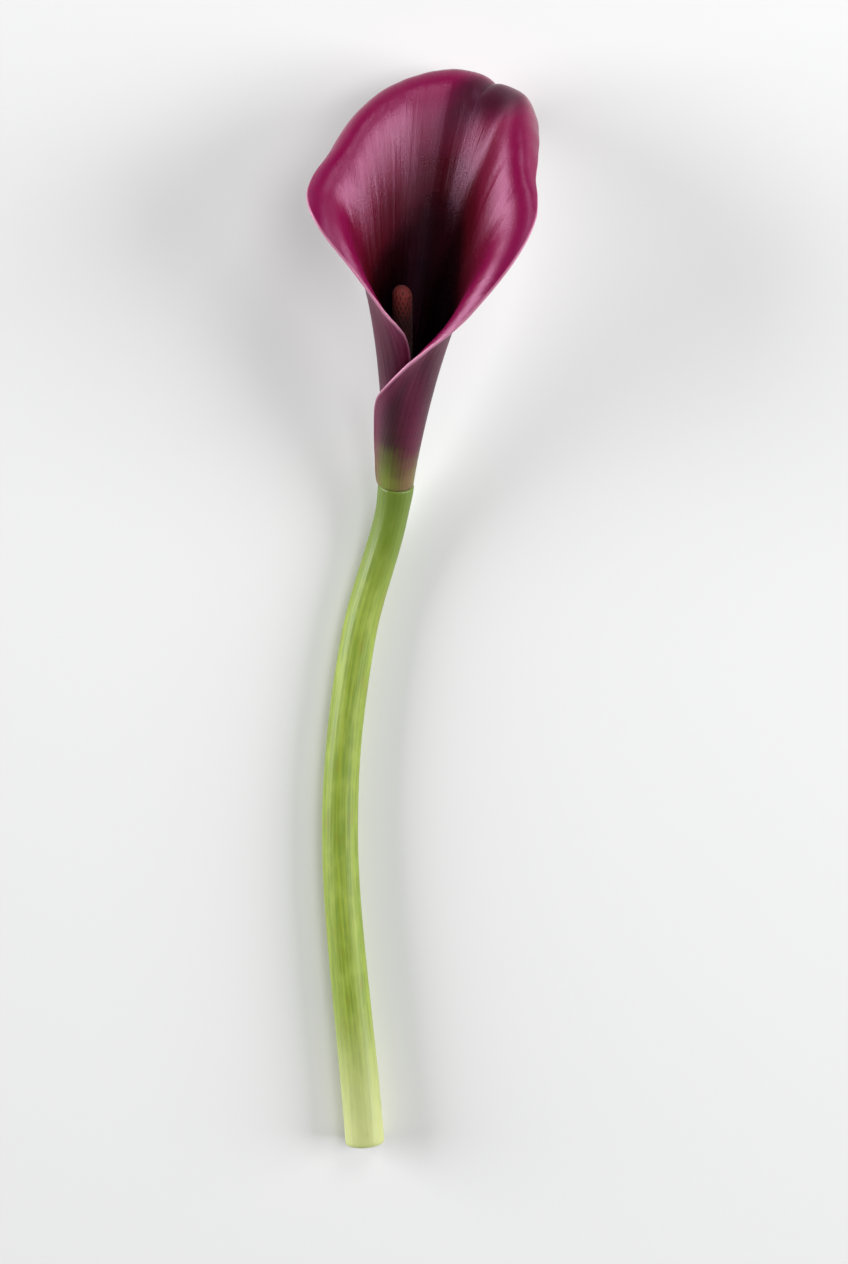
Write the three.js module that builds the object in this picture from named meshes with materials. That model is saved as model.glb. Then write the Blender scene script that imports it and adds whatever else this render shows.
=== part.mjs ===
// A calla lily flower, as picked: one trumpet-shaped spathe rolled round a spadix, on its own smooth stem.
// It lies on its back on a level surface, on the underside of the stem and the curled tip of the spathe.
//
// Millimetres and degrees, +Z up. The stem runs along -Y and the flower's head points along +Y. The origin
// is at the middle of the footprint, on the surface that the flower lies on.
//
// The spathe and the spadix are shaped in the head's own frame: its origin is the foot of the spathe, +Z
// runs up the tube, -Y faces the viewer and +Y is the back. Angles about the tube start at the back and
// grow toward +X, so the right margin, which laps over the left one, ends at 270 degrees.

import * as THREE from 'three';

// ---- Driving dimensions ----

// How the flower lies.
const HEAD_PLACE = [-8.5, 42.3, 11.6];   // foot of the spathe
const HEAD_PITCH = 19.3;                // rise of the tube above the surface
const HEAD_LEAN = 6;                    // lean of the tube to the right, seen from above
const SEAT_GAP = 0.3;                   // clearance between two pieces that bear on each other

// Stem.
const STEM_TOP_RADIUS = 4.9;
const STEM_FOOT_RADIUS = 6.0;
const COLLAR_FLARE = 0.45;              // swelling of the stem just under the spathe ...
const COLLAR_SPAN = 10;                 // ... which it reaches over this length
const NECK_SPAN = 50;                   // along -Y, from the foot of the spathe to where the stem lies flat
const NECK_OFFSET = -12;                // along X, at the same place
const NECK_HEADING = 10;                // its heading there, seen from above
const STEM_SPAN = 206;                  // along -Y, from the foot of the spathe to the cut end
const STEM_OFFSET = -10;                // along X, at the cut end
const STEM_HEADING = -4;
const BEND_SHARE = 0.4;                 // length of each curve's handles, as a share of its span
const STEM_SINK = 0.15;                 // how far the round stem is pressed flat against the surface
const STEM_SIDES = 20;
const NECK_RINGS = 16;
const STEM_RINGS = 30;

// Receptacle: the slim end of the stem inside the tube, which carries the spadix.
const RECEPTACLE_RADIUS = 2.7;
const RECEPTACLE_HEIGHT = 7;
const RECEPTACLE_ROUND = 0.6;

// Spadix.
const SPADIX_RADIUS = 2.85;
const SPADIX_FOOT_RADIUS = 2.3;
const SPADIX_HEIGHT = 57;
const SPADIX_SWELLS_OVER = 14;          // height at which it has its full radius
const SPADIX_LEAN = -4;                 // sideways reach of its tip ...
const SPADIX_BEND = 1.5;                // ... which grows with this power of the height
const SPADIX_CAP = 3.2;                 // length of the rounded tip
const SPADIX_CAP_FULLNESS = 0.97;       // at 1 the tip would close in a point
const FLORET_RELIEF = 0.3;
const FLORET_PITCH = 2.6;               // between two rings of florets, along the spadix
const FLORETS_AROUND = 7;
const SPADIX_SIDES = 28;

// Spathe: how far each stretch of the margin stands from the tube's axis and above its foot, and how far
// the blade arches above its margin before it rolls outward. Negative curl leaves it a plain cone.
const MARGIN = [
  { angle: -215, radius: 4.4, height: 5, curl: -1.5 },
  { angle: -200, radius: 6.4, height: 30, curl: -10 },
  { angle: -178, radius: 9.4, height: 50, curl: -12 },
  { angle: -145, radius: 16, height: 62, curl: -4 },
  { angle: -123, radius: 24, height: 74.5, curl: 2 },
  { angle: -108, radius: 31.5, height: 84.5, curl: 8 },
  { angle: -92, radius: 34, height: 90.5, curl: 14 },
  { angle: -70, radius: 30.5, height: 98.5, curl: 20 },
  { angle: -45, radius: 31.5, height: 105.5, curl: 26 },
  { angle: -15, radius: 37, height: 109, curl: 31.5 },
  { angle: 10, radius: 43, height: 109.5, curl: 38 },
  { angle: 40, radius: 42, height: 109, curl: 37.5 },
  { angle: 60, radius: 35, height: 105.5, curl: 29 },
  { angle: 80, radius: 31, height: 99.5, curl: 20 },
  { angle: 100, radius: 32, height: 90.5, curl: 12 },
  { angle: 120, radius: 28, height: 77, curl: 9 },
  { angle: 140, radius: 21.5, height: 62, curl: 7 },
  { angle: 160, radius: 15.3, height: 51.5, curl: 3 },
  { angle: 180, radius: 12.4, height: 45.5, curl: -3 },
  { angle: 207, radius: 10.8, height: 37.5, curl: -8 },
  { angle: 245, radius: 8.3, height: 26, curl: -6 },
  { angle: 262, radius: 6.5, height: 12, curl: -2 },
  { angle: 270, radius: 5.4, height: 4, curl: -1 },
];
const TUBE_FOOT_RADIUS = 4.3;
const TUBE_RADIUS = 6.0;                // the lower control point's radius: this, or if that is less ...
const SLIM_TUBE_RADIUS = 1.0;           // ... this much ...
const SLIM_TUBE_SHARE = 0.75;           // ... and this share of the margin's radius
const TUBE_SHARE = 0.45;                // height of that control point, as a share of the margin's height
const FLARE_RADIUS = 2.0;               // the upper control point's radius: this much ...
const FLARE_SHARE = 0.52;               // ... and this share of the margin's radius
const SPIRAL = 1.5;                     // growth of the radius in one turn, which parts the lapped layers

// Tip of the spathe: a broad point that narrows to a slender horn and curls back.
const TIP_ANGLE = 25;
const TIP_START = 0.66;                 // share of the blade's length where the tip starts to draw out
const POINT_REACH = 9;
const POINT_SPREAD = 24;
const HORN_REACH = 11.5;
const HORN_SPREAD = 5.5;
const TIP_SLOPE = 28;                   // downward slope where the curl starts
const TIP_BEND_RADIUS = 12;
const FOLD_DEPTH = 2.2;                 // shallow fold that ends at the tip
const FOLD_OUT = 0.5;                   // share of its depth that it goes outward ...
const FOLD_DOWN = 0.9;                  // ... and downward
const FOLD_SPREAD = 12;
const FOLD_DRIFT = 60;                  // degrees toward +X that it drifts over the blade's whole length
const FOLD_START = 0.45;
const FOLD_FULL = 0.85;

// Thickness of the spathe.
const BODY_THICKNESS = 1.3;
const FOOT_THICKNESS = 1.0;
const FOOT_THICKENS_OVER = 0.15;        // share of the blade's length
const MARGIN_THICKNESS = 0.8;
const MARGIN_THINS_OVER = 120;          // degrees from either side margin
const RIM_THINNING = 0.2;               // share lost between the foot and the rim

// Facets of the spathe.
const BLADE_ROWS = 24;
const ROW_CROWDING = 1.4;               // above 1, the rows crowd toward the rim
const COLUMN_STEP_AT_TIP = 0.8;
const COLUMN_STEP_GROWTH = 1.35;
const COLUMN_STEP_LIMIT = 10.5;
const NORMAL_STEP = { share: 0.01, angle: 0.5 };

// ---- Small helpers ----

const { degToRad, clamp, lerp, smoothstep } = THREE.MathUtils;
const UP = new THREE.Vector3(0, 0, 1);

/** Heading in the plane of the surface: 0 points along +Y, and a positive one toward +X. */
function heading(degrees) {
  return new THREE.Vector3(Math.sin(degToRad(degrees)), Math.cos(degToRad(degrees)), 0);
}

/** A smooth curve through hand-set values at rising angles, read at any angle between its ends. */
class StationCurve {
  constructor(stations, key) {
    this.angles = stations.map((station) => station.angle);
    this.values = stations.map((station) => station[key]);
    const last = stations.length - 1;
    this.slopes = this.angles.map((_, i) => {
      const before = Math.max(i - 1, 0);
      const after = Math.min(i + 1, last);
      return (this.values[after] - this.values[before]) / (this.angles[after] - this.angles[before]);
    });
  }

  at(angle) {
    const beyond = this.angles.findIndex((edge) => edge > angle);
    const next = beyond < 0 ? this.angles.length - 1 : Math.max(beyond, 1);
    const i = next - 1;
    const span = this.angles[next] - this.angles[i];
    const t = (angle - this.angles[i]) / span;
    const rise = 3 * t * t - 2 * t * t * t;
    const leave = t * (1 - t) * (1 - t) * span * this.slopes[i];
    const arrive = t * t * (t - 1) * span * this.slopes[next];
    return lerp(this.values[i], this.values[next], rise) + leave + arrive;
  }
}

/** Closed, indexed geometry from a list of points and a list of triangles. */
function geometryFrom(points, triangles) {
  const geometry = new THREE.BufferGeometry().setFromPoints(points);
  geometry.setIndex(triangles.flat());
  geometry.computeVertexNormals();
  return geometry;
}

/** Closed skin over rings of points that follow one another, with a fan over each end. */
function skinOverRings(rings) {
  const sides = rings[0].length;
  const middle = (ring) => {
    const sum = ring.reduce((total, point) => total.add(point), new THREE.Vector3());
    return sum.divideScalar(sides);
  };
  const points = rings.flat();
  const footCentre = points.push(middle(rings[0])) - 1;
  const topCentre = points.push(middle(rings.at(-1))) - 1;
  const triangles = [];
  for (let side = 0; side < sides; side++) {
    const next = (side + 1) % sides;
    const top = (rings.length - 1) * sides;
    triangles.push([footCentre, next, side], [topCentre, top + side, top + next]);
    for (let ring = 0; ring < rings.length - 1; ring++) {
      const low = ring * sides;
      const high = low + sides;
      triangles.push([low + side, low + next, high + next], [low + side, high + next, high + side]);
    }
  }
  return geometryFrom(points, triangles);
}

// ---- Head frame ----

/** The group that holds the spathe and the spadix: pitched down onto the surface, leaning to the right. */
function buildHead() {
  const head = new THREE.Group();
  head.position.set(...HEAD_PLACE);
  head.rotation.order = 'ZXY';
  head.rotation.z = degToRad(-HEAD_LEAN);
  head.rotation.x = degToRad(HEAD_PITCH - 90);
  head.updateMatrixWorld(true);
  return head;
}

// ---- Stem ----

/** Centre line and radius of the stem, from the cut end to the foot of the spathe, as {centre, radius}. */
function stemStations(head) {
  const tubeAxis = UP.clone().transformDirection(head.matrixWorld);
  const neckTop = head.position.clone();
  const radiusAt = (span) => (
    lerp(STEM_TOP_RADIUS, STEM_FOOT_RADIUS, span / STEM_SPAN)
    + COLLAR_FLARE * (1 - smoothstep(span, 0, COLLAR_SPAN))
  );
  const lying = (offset, span) => (
    new THREE.Vector3(neckTop.x + offset, neckTop.y - span, radiusAt(span) - STEM_SINK)
  );
  const neckFoot = lying(NECK_OFFSET, NECK_SPAN);
  const cutEnd = lying(STEM_OFFSET, STEM_SPAN);

  // The neck leaves the tube along its axis and settles level on the surface.
  const neck = new THREE.CubicBezierCurve3(
    neckFoot,
    neckFoot.clone().addScaledVector(heading(NECK_HEADING), NECK_SPAN * BEND_SHARE),
    neckTop.clone().addScaledVector(tubeAxis, -NECK_SPAN * BEND_SHARE),
    neckTop,
  );

  // The rest lies on the surface in a slight bow. Its centre rises with its radius.
  const reach = (STEM_SPAN - NECK_SPAN) * BEND_SHARE;
  const lowerStart = cutEnd.clone().addScaledVector(heading(STEM_HEADING), reach);
  const lowerEnd = neckFoot.clone().addScaledVector(heading(NECK_HEADING), -reach);
  lowerStart.z = lerp(cutEnd.z, neckFoot.z, BEND_SHARE);
  lowerEnd.z = lerp(cutEnd.z, neckFoot.z, 1 - BEND_SHARE);
  const lower = new THREE.CubicBezierCurve3(cutEnd, lowerStart, lowerEnd, neckFoot);

  const along = (curve, count, first) => Array.from({ length: count + 1 - first }, (_, i) => {
    const t = (i + first) / count;
    return { centre: curve.getPoint(t), direction: curve.getTangent(t) };
  });
  return [...along(lower, STEM_RINGS, 0), ...along(neck, NECK_RINGS, 1)].map(({ centre, direction }) => ({
    centre,
    direction,
    radius: radiusAt(neckTop.y - centre.y),
  }));
}

/** One ring of the stem, square to its centre line, with a flat side down and nothing below the surface. */
function stemRing({ centre, direction, radius }) {
  const across = new THREE.Vector3().crossVectors(UP, direction).normalize();
  const over = new THREE.Vector3().crossVectors(direction, across);
  return Array.from({ length: STEM_SIDES }, (_, side) => {
    const turn = (2 * Math.PI * (side + 0.5)) / STEM_SIDES - Math.PI / 2;
    const point = centre.clone().addScaledVector(across, radius * Math.cos(turn));
    point.addScaledVector(over, radius * Math.sin(turn));
    point.z = Math.max(point.z, 0);
    return point;
  });
}

/** The stem, with a flat shoulder under the spathe and the receptacle standing up from it. */
function buildStem(head) {
  const stations = stemStations(head);
  const top = stations.at(-1);
  const receptacle = [
    [0, RECEPTACLE_RADIUS],
    [RECEPTACLE_HEIGHT - RECEPTACLE_ROUND, RECEPTACLE_RADIUS],
    [RECEPTACLE_HEIGHT, RECEPTACLE_RADIUS - RECEPTACLE_ROUND],
  ].map(([height, radius]) => ({
    centre: top.centre.clone().addScaledVector(top.direction, height),
    direction: top.direction,
    radius,
  }));
  const stem = new THREE.Mesh(
    skinOverRings([...stations, ...receptacle].map(stemRing)),
    new THREE.MeshStandardMaterial({ color: 0x93a548, roughness: 0.45, metalness: 0 }),
  );
  stem.name = 'stem';
  return stem;
}

// ---- Spadix ----

/** Radius of the spadix without its florets: a slight swelling, a narrow foot and a rounded tip. */
function spadixRadius(height) {
  const swelling = lerp(SPADIX_FOOT_RADIUS, SPADIX_RADIUS, smoothstep(height, 0, SPADIX_SWELLS_OVER));
  const intoCap = clamp((height - SPADIX_HEIGHT + SPADIX_CAP) / SPADIX_CAP, 0, 1);
  return swelling * Math.sqrt(1 - SPADIX_CAP_FULLNESS * intoCap * intoCap);
}

/** The spadix: rings of small florets in quincunx, raised from its surface. */
function buildSpadix() {
  const ringStep = FLORET_PITCH / 2;
  const ringCount = Math.round(SPADIX_HEIGHT / ringStep);
  const foot = SEAT_GAP + RECEPTACLE_HEIGHT;
  const rings = Array.from({ length: ringCount + 1 }, (_, ring) => {
    const height = (SPADIX_HEIGHT * ring) / ringCount;
    const lean = SPADIX_LEAN * (height / SPADIX_HEIGHT) ** SPADIX_BEND;
    const centre = new THREE.Vector3(lean, 0, foot + height);
    const fadeIn = smoothstep(height, 0, FLORET_PITCH);
    const fadeOut = 1 - smoothstep(height, SPADIX_HEIGHT - SPADIX_CAP, SPADIX_HEIGHT);
    return Array.from({ length: SPADIX_SIDES }, (__, side) => {
      const turn = (2 * Math.PI * side) / SPADIX_SIDES;
      const floret = Math.cos(FLORETS_AROUND * turn) * Math.cos((Math.PI * height) / FLORET_PITCH);
      const radius = spadixRadius(height) + FLORET_RELIEF * floret * fadeIn * fadeOut;
      return new THREE.Vector3(Math.cos(turn), Math.sin(turn), 0).multiplyScalar(radius).add(centre);
    });
  });
  const spadix = new THREE.Mesh(
    skinOverRings(rings),
    new THREE.MeshStandardMaterial({ color: 0x5c2c2c, roughness: 0.75, metalness: 0 }),
  );
  spadix.name = 'spadix';
  return spadix;
}

// ---- Spathe ----

const marginRadius = new StationCurve(MARGIN, 'radius');
const marginHeight = new StationCurve(MARGIN, 'height');
const marginCurl = new StationCurve(MARGIN, 'curl');
const LEFT_MARGIN = MARGIN[0].angle;
const RIGHT_MARGIN = MARGIN.at(-1).angle;

/** How far the rim is drawn out at an angle from the tip: a broad point and a slender horn. */
function tipReach(offset) {
  const point = POINT_REACH * clamp(1 - offset / POINT_SPREAD, 0, 1) ** 2;
  const horn = HORN_REACH * clamp(1 - offset / HORN_SPREAD, 0, 1) ** 2;
  return point + horn;
}

/** A point half way through the spathe. Share runs from 0 at the foot to 1 at the rim. */
function bladePoint(share, angle) {
  const rimRadius = marginRadius.at(angle);
  const rimHeight = marginHeight.at(angle);
  const tubeRadius = Math.min(TUBE_RADIUS, SLIM_TUBE_RADIUS + SLIM_TUBE_SHARE * rimRadius);
  const profile = new THREE.CubicBezierCurve(
    new THREE.Vector2(TUBE_FOOT_RADIUS, 0),
    new THREE.Vector2(tubeRadius, TUBE_SHARE * rimHeight),
    new THREE.Vector2(FLARE_RADIUS + FLARE_SHARE * rimRadius, rimHeight + marginCurl.at(angle)),
    new THREE.Vector2(rimRadius, rimHeight),
  ).getPoint(share);
  const offset = Math.abs(angle - TIP_ANGLE);

  // The tip runs on along an arc that bends down and back.
  const drawn = tipReach(offset) * clamp((share - TIP_START) / (1 - TIP_START), 0, 1) ** 2;
  const slope = degToRad(TIP_SLOPE);
  const bent = slope + drawn / TIP_BEND_RADIUS;
  profile.x += TIP_BEND_RADIUS * (Math.sin(bent) - Math.sin(slope));
  profile.y -= TIP_BEND_RADIUS * (Math.cos(slope) - Math.cos(bent));

  // A shallow fold runs from the right wall to the tip.
  const beside = angle - TIP_ANGLE - FOLD_DRIFT * (1 - share);
  const foldDepth = FOLD_DEPTH * Math.exp(-((beside / FOLD_SPREAD) ** 2));
  const fold = foldDepth * smoothstep(share, FOLD_START, FOLD_FULL);
  const radius = profile.x + FOLD_OUT * fold + (SPIRAL * angle) / 360;
  const height = profile.y - FOLD_DOWN * fold;
  return new THREE.Vector3(radius * Math.sin(degToRad(angle)), radius * Math.cos(degToRad(angle)), height);
}

/** Thickness of the spathe: thinner at its foot, toward both side margins and toward the rim. */
function bladeThickness(share, angle) {
  const inFromMargin = Math.min(angle - LEFT_MARGIN, RIGHT_MARGIN - angle);
  const middle = lerp(FOOT_THICKNESS, BODY_THICKNESS, smoothstep(share, 0, FOOT_THICKENS_OVER));
  const body = lerp(MARGIN_THICKNESS, middle, smoothstep(inFromMargin, 0, MARGIN_THINS_OVER));
  return body * (1 - RIM_THINNING * share);
}

/** Direction from the inner face of the spathe to its outer face. */
function bladeNormal(share, angle) {
  const lower = Math.max(share - NORMAL_STEP.share, 0);
  const upper = Math.min(share + NORMAL_STEP.share, 1);
  const left = Math.max(angle - NORMAL_STEP.angle, LEFT_MARGIN);
  const right = Math.min(angle + NORMAL_STEP.angle, RIGHT_MARGIN);
  const alongBlade = bladePoint(upper, angle).sub(bladePoint(lower, angle));
  const acrossBlade = bladePoint(share, right).sub(bladePoint(share, left));
  return alongBlade.cross(acrossBlade).normalize();
}

/** Angles of the blade's columns, close together at the tip and wider apart toward the side margins. */
function columnAngles() {
  const side = (margin, sign) => {
    const angles = [margin];
    let step = COLUMN_STEP_AT_TIP;
    let angle = TIP_ANGLE + sign * step;
    while (Math.abs(margin - angle) > step / 2) {
      angles.push(angle);
      step = Math.min(step * COLUMN_STEP_GROWTH, COLUMN_STEP_LIMIT);
      angle += sign * step;
    }
    return angles;
  };
  return [...side(LEFT_MARGIN, -1), TIP_ANGLE, ...side(RIGHT_MARGIN, 1)].sort((a, b) => a - b);
}

/** Both faces of the spathe, split into triangles alike, and the narrow edge that closes them. */
function buildSpathe(head) {
  const shareOf = (row) => 1 - (1 - row / BLADE_ROWS) ** ROW_CROWDING;
  const shares = Array.from({ length: BLADE_ROWS + 1 }, (_, row) => shareOf(row));
  const angles = columnAngles();
  const surface = new THREE.Plane(UP.clone(), 0).applyMatrix4(head.matrixWorld.clone().invert());
  const points = [];
  for (const face of [0.5, -0.5]) {
    for (const share of shares) {
      for (const angle of angles) {
        const point = bladePoint(share, angle);
        point.addScaledVector(bladeNormal(share, angle), face * bladeThickness(share, angle));
        point.z = share === 0 ? SEAT_GAP : Math.max(point.z, SEAT_GAP);
        const depth = Math.min(surface.distanceToPoint(point), 0);
        points.push(point.addScaledVector(surface.normal, -depth));
      }
    }
  }

  const columns = angles.length;
  const faceSize = shares.length * columns;
  const outer = (row, column) => row * columns + column;
  const inner = (row, column) => faceSize + outer(row, column);
  const triangles = [];
  const quad = (a, b, c, d) => triangles.push([a, b, c], [a, c, d]);
  const lastRow = shares.length - 1;
  const lastColumn = columns - 1;
  for (let row = 0; row < lastRow; row++) {
    for (let column = 0; column < lastColumn; column++) {
      quad(outer(row, column), outer(row + 1, column), outer(row + 1, column + 1), outer(row, column + 1));
      triangles.push([inner(row, column), inner(row + 1, column + 1), inner(row + 1, column)]);
      triangles.push([inner(row, column), inner(row, column + 1), inner(row + 1, column + 1)]);
    }
    const next = row + 1;
    quad(outer(row, 0), inner(row, 0), inner(next, 0), outer(next, 0));
    quad(outer(row, lastColumn), outer(next, lastColumn), inner(next, lastColumn), inner(row, lastColumn));
  }
  for (let column = 0; column < lastColumn; column++) {
    const next = column + 1;
    quad(outer(0, column), outer(0, next), inner(0, next), inner(0, column));
    quad(outer(lastRow, column), inner(lastRow, column), inner(lastRow, next), outer(lastRow, next));
  }

  const spathe = new THREE.Mesh(
    geometryFrom(points, triangles),
    new THREE.MeshStandardMaterial({ color: 0x66143a, roughness: 0.45, metalness: 0 }),
  );
  spathe.name = 'spathe';
  return spathe;
}

// ---- Assembly ----

const flower = new THREE.Group();
const head = buildHead();
head.add(buildSpathe(head), buildSpadix());
flower.add(buildStem(head), head);

export default flower;
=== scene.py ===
"""A picked calla lily flower: the looks of its spathe, spadix and stem, and the studio around it.

The flower lies on its back with its head toward +Y. Every piece is shaped in millimetres by the
same formulas as the solid that it stands for, at a finer pitch, and brought to metres at the end.
"""

import logging
import math
from collections.abc import Callable, Sequence
from dataclasses import dataclass
from enum import Enum

import bmesh
import bpy
from mathutils import Euler, Matrix, Vector, kdtree, noise

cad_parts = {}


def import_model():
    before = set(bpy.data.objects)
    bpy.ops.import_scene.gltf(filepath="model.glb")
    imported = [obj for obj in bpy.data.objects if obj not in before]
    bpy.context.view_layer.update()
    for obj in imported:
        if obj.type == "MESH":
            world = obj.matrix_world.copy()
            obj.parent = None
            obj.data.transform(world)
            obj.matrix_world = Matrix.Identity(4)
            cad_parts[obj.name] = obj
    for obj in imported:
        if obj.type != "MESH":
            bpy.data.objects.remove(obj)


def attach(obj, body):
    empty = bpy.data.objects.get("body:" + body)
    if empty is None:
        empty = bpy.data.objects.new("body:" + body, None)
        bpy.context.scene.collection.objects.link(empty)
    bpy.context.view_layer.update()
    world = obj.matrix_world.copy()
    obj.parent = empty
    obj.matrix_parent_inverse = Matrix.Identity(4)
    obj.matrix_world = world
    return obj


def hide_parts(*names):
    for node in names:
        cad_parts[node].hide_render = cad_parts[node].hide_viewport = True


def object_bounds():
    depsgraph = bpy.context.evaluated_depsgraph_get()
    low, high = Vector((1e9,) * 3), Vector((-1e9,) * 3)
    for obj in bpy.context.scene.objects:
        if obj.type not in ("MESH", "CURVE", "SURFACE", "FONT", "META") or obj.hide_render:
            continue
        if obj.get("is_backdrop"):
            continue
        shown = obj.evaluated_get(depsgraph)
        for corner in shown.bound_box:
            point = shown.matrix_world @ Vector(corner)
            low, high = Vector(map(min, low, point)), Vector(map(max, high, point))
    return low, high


LOG = logging.getLogger("calla")

MM = 0.001
WELD = 1e-4
UP = Vector((0.0, 0.0, 1.0))
BODY = "root"
SEAT_GAP = 0.3
RECEPTACLE_HEIGHT = 7.0

Colour = tuple[float, float, float, float]
Triple = tuple[float, float, float]
Span = tuple[float, float]
Range = tuple[float, float, float, float]
Stops = tuple[tuple[float, str], ...]
Socket = bpy.types.NodeSocket
Value = Socket | float | Triple | Colour
Paint = Socket | str


# ---- Small helpers ----


def colour(code: str) -> Colour:
    """Turn a web colour into linear light.

    Args:
        code: Six hexadecimal digits after a hash sign.

    Returns:
        Red, green, blue and an alpha of one.
    """
    channels = [int(code[i : i + 2], 16) / 255.0 for i in (1, 3, 5)]
    linear = [c / 12.92 if c <= 0.04045 else ((c + 0.055) / 1.055) ** 2.4 for c in channels]
    return (linear[0], linear[1], linear[2], 1.0)


def clamp(value: float, low: float = 0.0, high: float = 1.0) -> float:
    """Hold a value between two limits."""
    return max(low, min(high, value))


def lerp(start: float, end: float, share: float) -> float:
    """Go a share of the way from start to end."""
    return start + (end - start) * share


def smoothstep(value: float, low: float, high: float) -> float:
    """Rise smoothly from 0 at low to 1 at high."""
    t = clamp((value - low) / (high - low))
    return t * t * (3.0 - 2.0 * t)


def curve_point(points: Sequence[Vector], t: float) -> Vector:
    """Find a point on a smooth curve.

    Args:
        points: Its four control points.
        t: How far along the curve, from 0 to 1.

    Returns:
        The point.
    """
    a, b, c, d = points
    s = 1.0 - t
    return s * s * s * a + 3 * s * s * t * b + 3 * s * t * t * c + t * t * t * d


def curve_direction(points: Sequence[Vector], t: float) -> Vector:
    """Find where a smooth curve is heading.

    Args:
        points: Its four control points.
        t: How far along the curve, from 0 to 1.

    Returns:
        The unit direction there.
    """
    a, b, c, d = points
    s = 1.0 - t
    return (s * s * (b - a) + 2 * s * t * (c - b) + t * t * (d - c)).normalized()


def heading(degrees: float) -> Vector:
    """Point along the surface: 0 degrees is +Y, and a positive angle turns toward +X."""
    return Vector((math.sin(math.radians(degrees)), math.cos(math.radians(degrees)), 0.0))


def finished(
    shape: bmesh.types.BMesh, name: str, node: str, material: bpy.types.Material
) -> bpy.types.Object:
    """Bring a shape in millimetres into the scene as the piece that stands for one node.

    Args:
        shape: The closed shape, which is freed.
        name: The piece's name.
        node: The CAD node that it replaces.
        material: Its finish.

    Returns:
        The piece, which rides on the flower's one body.
    """
    bmesh.ops.recalc_face_normals(shape, faces=shape.faces)
    bmesh.ops.scale(shape, vec=(MM, MM, MM), verts=shape.verts)
    for face in shape.faces:
        face.smooth = True
    mesh = bpy.data.meshes.new(name)
    shape.to_mesh(mesh)
    shape.free()
    mesh.materials.append(material)
    piece = bpy.data.objects.new(name, mesh)
    bpy.context.scene.collection.objects.link(piece)
    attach(piece, BODY)
    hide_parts(node)
    LOG.info("%s: %d faces", name, len(mesh.polygons))
    return piece


@dataclass(frozen=True)
class Lying:
    """How the head lies: its foot, the rise of its tube and its lean to the right, from above."""

    foot: Triple = (-8.5, 42.3, 11.6)
    pitch: float = 19.3
    lean: float = 6.0

    def matrix(self) -> Matrix:
        """Give the place of the head's own frame: +Z runs up the tube, and -Y is its front."""
        turn = Euler((math.radians(self.pitch - 90.0), 0.0, math.radians(-self.lean)), "XYZ")
        return Matrix.Translation(self.foot) @ turn.to_matrix().to_4x4()

    def tube_axis(self) -> Vector:
        """Give the direction up the tube."""
        return (self.matrix().to_3x3() @ UP).normalized()


# ---- Finishes ----


class Op(Enum):
    """What a math node does; TIMES_PLUS multiplies two numbers and adds a third."""

    PLUS = "ADD"
    MINUS = "SUBTRACT"
    TIMES = "MULTIPLY"
    OVER = "DIVIDE"
    TIMES_PLUS = "MULTIPLY_ADD"


@dataclass(frozen=True)
class Pattern:
    """A noise: how fine and rough it is, how it is drawn out, and its depth as relief in metres."""

    scale: float
    detail: float = 3.0
    roughness: float = 0.5
    stretch: Triple | None = None
    depth: float = 0.0
    strength: float = 1.0


@dataclass(frozen=True)
class Tint:
    """A colour over another one: none of it at one value, and its whole share at another."""

    code: str
    none: float
    full: float
    share: float = 1.0


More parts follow.
